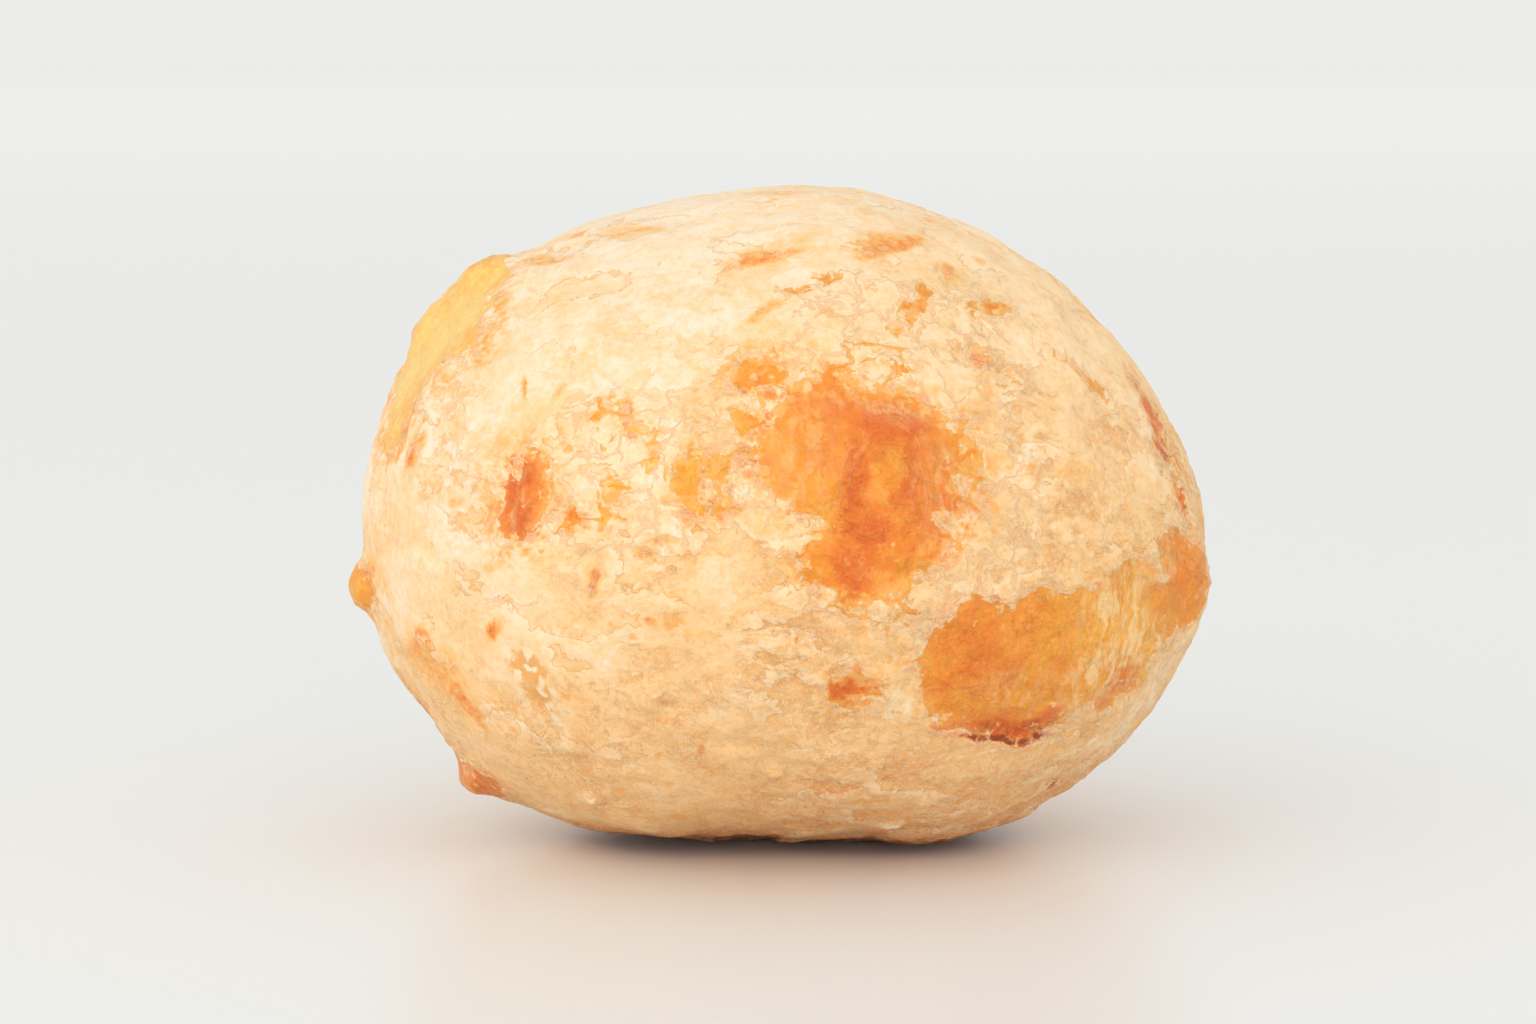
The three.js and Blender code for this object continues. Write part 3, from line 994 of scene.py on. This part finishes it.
def crust_colour(n, place, tan, stain, grain, pattern):
    """Cream to tan, going golden, orange and rusty where the cheese shows through, and the pale
    threads over it. What stands up is paler than what lies low: the flour islands are the crust's
    own, and the deeper gold in the hollows and the fine grain is painted shade."""
    cloud = n.plus(
        n.times(n.noise(place, 0.2, 4, 0.6), 0.7),
        n.times(n.noise(place, 1.2, 4, 0.65), 0.3),
        n.times(pattern["Flake"], 0.06),
    )
    # Low places are more golden, partly as crust between the flour islands and partly as painted shade
    # in the hollows and the fine grain.
    low_lying_and_shade = n.plus(0.5, n.times(pattern["Isles"], -1), n.times(pattern["HollowShade"], 0.5))
    tanned = n.plus(tan, cloud, n.times(low_lying_and_shade, 0.42), n.times(grain, -0.4))
    crust = n.ramped(tanned, CRUST_RAMP)
    showing = n.largest(golden_patches(n, place, tan, low_lying_and_shade), stain)
    crust = n.mixed(n.rise(showing, 0.02, 0.6), crust, n.ramped(n.times(showing, 0.6), STAIN_RAMP))
    drawn = n.times(threads(n, place), n.rise(tanned, 0.2, 0.6))
    crust = n.mixed(n.times(drawn, 0.7), crust, THREAD)
    # The cracks show the cheese's gold, and along the foot of steps the same colour is painted shadow.
    crust = n.mixed(n.times(pattern["CrackAndShadowLine"], 0.7), crust, CRACK_AND_SHADOW_LINE)
    # Dark brown round the foot: a toasted base and painted shade where the roll meets the table.
    crust = n.mixed(n.rise(tanned, 1.0, 1.5), crust, TOASTED_AND_SHADED)
    return crust, drawn


def baked_streaks(n, place, ring):
    """Upright streaks, which turn into rings about the blister."""
    upright = n.noise(n.squeezed(n.stirred(place, 0.8, 0.5), 1.7, 0.4), 1, 4, 0.65)
    rings = n.add("ShaderNodeCombineXYZ", {0: ring, 1: ring, 2: ring}).outputs[0]
    spun = n.vector("ADD", n.scaled(n.stirred(place, 1.1, 0.6), 0.3), n.scaled(rings, 1.9))
    return n.blended(n.rise(ring, 4.2, 2.4), upright, n.noise(spun, 1, 3, 0.65))


def cheese_colour(n, place, browned, streaks, ragged, torn):
    """Baked cheese: yellow, orange and red clouds and streaks under a paler haze and, along a
    ragged edge, a film and flecks of crust."""
    clouds = n.times(n.noise(place, 0.5, 4, 0.62), 0.6)
    mottled = n.times(n.noise(place, 2.2, 4, 0.7), 0.45)
    browning = n.plus(browned, clouds, mottled, n.times(streaks, 0.5))
    cheese = n.ramped(browning, CHEESE_RAMP)
    veins = n.veins(n.stirred(place, 0.7, 1.2), 0.8, 3, 0.05)
    misty = n.plus(n.noise(place, 0.7, 5, 0.7), n.times(streaks, 0.7), n.times(veins, 0.1))
    cheese = n.mixed(n.times(n.rise(misty, -0.02, 0.3), 0.55), cheese, HAZE)
    inward = n.plus(torn, n.times(n.noise(place, 0.8, 4, 0.65), 3))
    film = n.times(n.rise(inward, 1.1, 0.1), n.rise(ragged, 0.1, 0.9))
    cheese = n.mixed(n.times(film, 0.7), cheese, FILM)
    flecks = n.cells(n.scaled(n.stirred(place, 2.5, 0.5), 1.7))
    kept = n.plus(n.chance(flecks), n.times(flecks.outputs["Distance"], -0.5), n.times(torn, -0.16))
    return n.mixed(n.times(n.rise(kept, 0.02, 0.16), 0.65), cheese, SCRAP)


def golden_halo(n, place, thin, isles):
    """Wisps of gold in the thin crust round a tear."""
    wisps = n.plus(n.noise(place, 0.5, 4, 0.65), n.times(n.noise(place, 1.8, 3), 0.6))
    return n.times(thin, n.rise(wisps, -0.22, 0.16), n.plus(1.05, n.times(isles, -0.5)))


def floured(n, place, colour, streaks, pattern, painted):
    """The colour with flour on the crust, some of it painted sheen and rim light, pale streaks on
    the cheese and pale rims on flakes, partly painted highlight.
    """
    powder = n.rise(n.noise(n.squeezed(place, 1, 0.6), 1.6, 4, 0.7), -0.16, 0.16)
    dust_and_sheen = n.largest(n.times(painted("stain"), -1), 0)
    dusted_and_sheen = n.times(dust_and_sheen, powder, n.minus(1, painted("crumb")))
    hazy = n.times(painted("hazy"), n.rise(streaks, -0.12, 0.12))
    pale = n.largest(n.blended(pattern["Cheese"], dusted_and_sheen, hazy), n.times(pattern["RimAndHighlight"], 0.5))
    powdered = n.mixed(pattern["Cheese"], FLOURY, SCRAP)
    return n.mixed(n.math("MINIMUM", pale, 0.9), colour, powdered)


def broken_open(n, colour, grain, pattern, painted):
    """The colour with the crumb's holes and knobs in it, where the crust is broken open."""
    opened = n.rise(n.plus(painted("crumb"), n.times(grain, 1.2)), 0.45, 0.75)
    colour = n.mixed(n.times(opened, 0.85), colour, HOLE)
    return n.mixed(pattern["Crumbs"], colour, FLOURY)


def fine_relief(n, grain, drawn, streaks, pattern):
    """The normal over the relief that is too fine for the mesh."""
    height = n.plus(
        n.times(pattern["Cheese"], -CHEESE_DROP),
        n.times(pattern["CrackAndShadowLine"], -CRACK_GROOVE),
        n.times(grain, n.blended(pattern["Cheese"], CRUST_GRAIN, CHEESE_GRAIN)),
        n.times(pattern["Isles"], ISLAND_LIP),
        n.times(drawn, THREAD_RISE),
        n.times(streaks, pattern["Cheese"], STREAK_RISE),
    )
    bump = n.add("ShaderNodeBump", {"Height": height, "Strength": 1.0, "Distance": MM})
    return bump.outputs[0]


def crust_material():
    """Pale crust, and baked cheese in its tears."""
    material, n = new_material("flaking cheese crust")

    def painted(name):
        return n.add("ShaderNodeAttribute", {}, attribute_name=name).outputs["Fac"]

    place = n.scaled(n.add("ShaderNodeTexCoord", {}).outputs["Object"], PER_METRE)
    pattern = placed_pattern(n, place, COLOUR_SOFTNESS, painted)
    cheesy = pattern["Cheese"]
    grain = n.noise(place, 2.2, 3, 0.6)
    marked = n.times(painted("stain"), n.plus(1, n.times(n.noise(place, 1.5, 5, 0.7), 2.2)))
    stain = n.largest(marked, golden_halo(n, place, painted("thin"), pattern["Isles"]))
    crust, drawn = crust_colour(n, place, painted("tan"), stain, grain, pattern)
    streaks = baked_streaks(n, place, painted("ring"))
    cheese = cheese_colour(
        n, place, painted("browned"), streaks, painted("ragged"), pattern["Torn"]
    )
    colour = floured(n, place, n.mixed(cheesy, crust, cheese), streaks, pattern, painted)
    colour = n.mixed(n.rise(marked, 1.1, 1.7), colour, SCORCHED)
    shader = n.add(
        "ShaderNodeBsdfPrincipled",
        {
            "Base Color": broken_open(n, colour, grain, pattern, painted),
            "Roughness": n.blended(cheesy, 0.66, 0.4),
            "Normal": fine_relief(n, grain, drawn, streaks, pattern),
            "Specular IOR Level": 0.35,
            "Subsurface Weight": 0.3,
            "Subsurface Radius": (1.0, 0.6, 0.35),
            "Subsurface Scale": 0.5 * MM,
        },
    )
    n.add("ShaderNodeOutputMaterial", {"Surface": shader.outputs[0]})
    return material


def add_roll():
    """The skin with its fields painted on, raised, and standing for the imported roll."""
    mesh = wrapped_skin()
    skin = Skin(mesh)
    fields = {
        "peel": peel_field(skin),
        "ragged": skin.laid(CLEAN_EDGES, 1.0, 4),
        "thin": thin_field(skin),
        "browned": skin.laid(BROWNINGS, CHEESE_BROWNING, 4),
        "stain": skin.laid(STAINS, 0.0, 3),
        "hazy": skin.laid(HAZES, 0.0, 3),
        "crumb": skin.laid(BREAKS, 0.0, 3),
        "tan": tan_field(skin),
        "ring": skin.away(BLISTER),
    }
    for name, values in fields.items():
        paint(mesh, name, values)
    lift_skin(skin, mesh)
    roll = bpy.data.objects.new("roll_crust", mesh)
    bpy.context.scene.collection.objects.link(roll)
    raise_crust(roll)
    roll.data.materials.append(crust_material())
    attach(roll, "root")
    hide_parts(NODE)


def table_material():
    """Pale and a little glossy, turning clear away from the roll."""
    material, n = new_material("pale table")
    place = n.add("ShaderNodeTexCoord", {}).outputs["Object"]
    away = n.add("ShaderNodeVectorMath", {0: place}, operation="LENGTH").outputs["Value"]
    top = n.add(
        "ShaderNodeBsdfPrincipled", {"Base Color": TABLE, "Roughness": 0.3, "IOR": 1.28}
    )
    clear = n.add("ShaderNodeBsdfTransparent", {})
    sides = {0: n.rise(away, *TABLE_FADE), 1: top.outputs[0], 2: clear.outputs[0]}
    faded = n.add("ShaderNodeMixShader", sides)
    n.add("ShaderNodeOutputMaterial", {"Surface": faded.outputs[0]})
    return material


def add_floor():
    """A pale table top that fades into the backdrop behind it."""
    disc = bmesh.new()
    bmesh.ops.create_circle(disc, cap_ends=True, segments=96, radius=TABLE_RADIUS)
    mesh = bpy.data.meshes.new("floor")
    disc.to_mesh(mesh)
    disc.free()
    mesh.materials.append(table_material())
    floor = bpy.data.objects.new("floor", mesh)
    bpy.context.scene.collection.objects.link(floor)
    floor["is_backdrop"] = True


def add_lamp(lamp):
    """A soft panel, a little over a metre from the roll, which no view shows."""
    light = bpy.data.lights.new(lamp.name, "AREA")
    light.shape = "RECTANGLE"
    light.size, light.size_y = lamp.size
    light.energy = lamp.watts
    light.color = LAMP_COLOUR
    panel = bpy.data.objects.new(lamp.name, light)
    bpy.context.scene.collection.objects.link(panel)
    panel.location = MIDDLE + Vector(bearings(lamp.around, lamp.up)) * LAMP_REACH
    panel.visible_camera = False
    panel.visible_glossy = False
    aim(panel, MIDDLE)


def add_studio():
    """An even pale backdrop, one broad key above and to the left, and softer panels in front, at
    both sides and behind."""
    world = bpy.data.worlds.new("studio")
    bpy.context.scene.world = world
    world.use_nodes = True
    world.node_tree.nodes["Background"].inputs["Color"].default_value = (*BACKDROP, 1)
    for lamp in LAMPS:
        add_lamp(lamp)
    bpy.context.scene.view_settings.view_transform = "Standard"


add_camera()
add_studio()
add_floor()
add_roll()

boxes = {"cad": cad_box, "visual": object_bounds()}
{name: [list(corner) for corner in box] for name, box in boxes.items()}
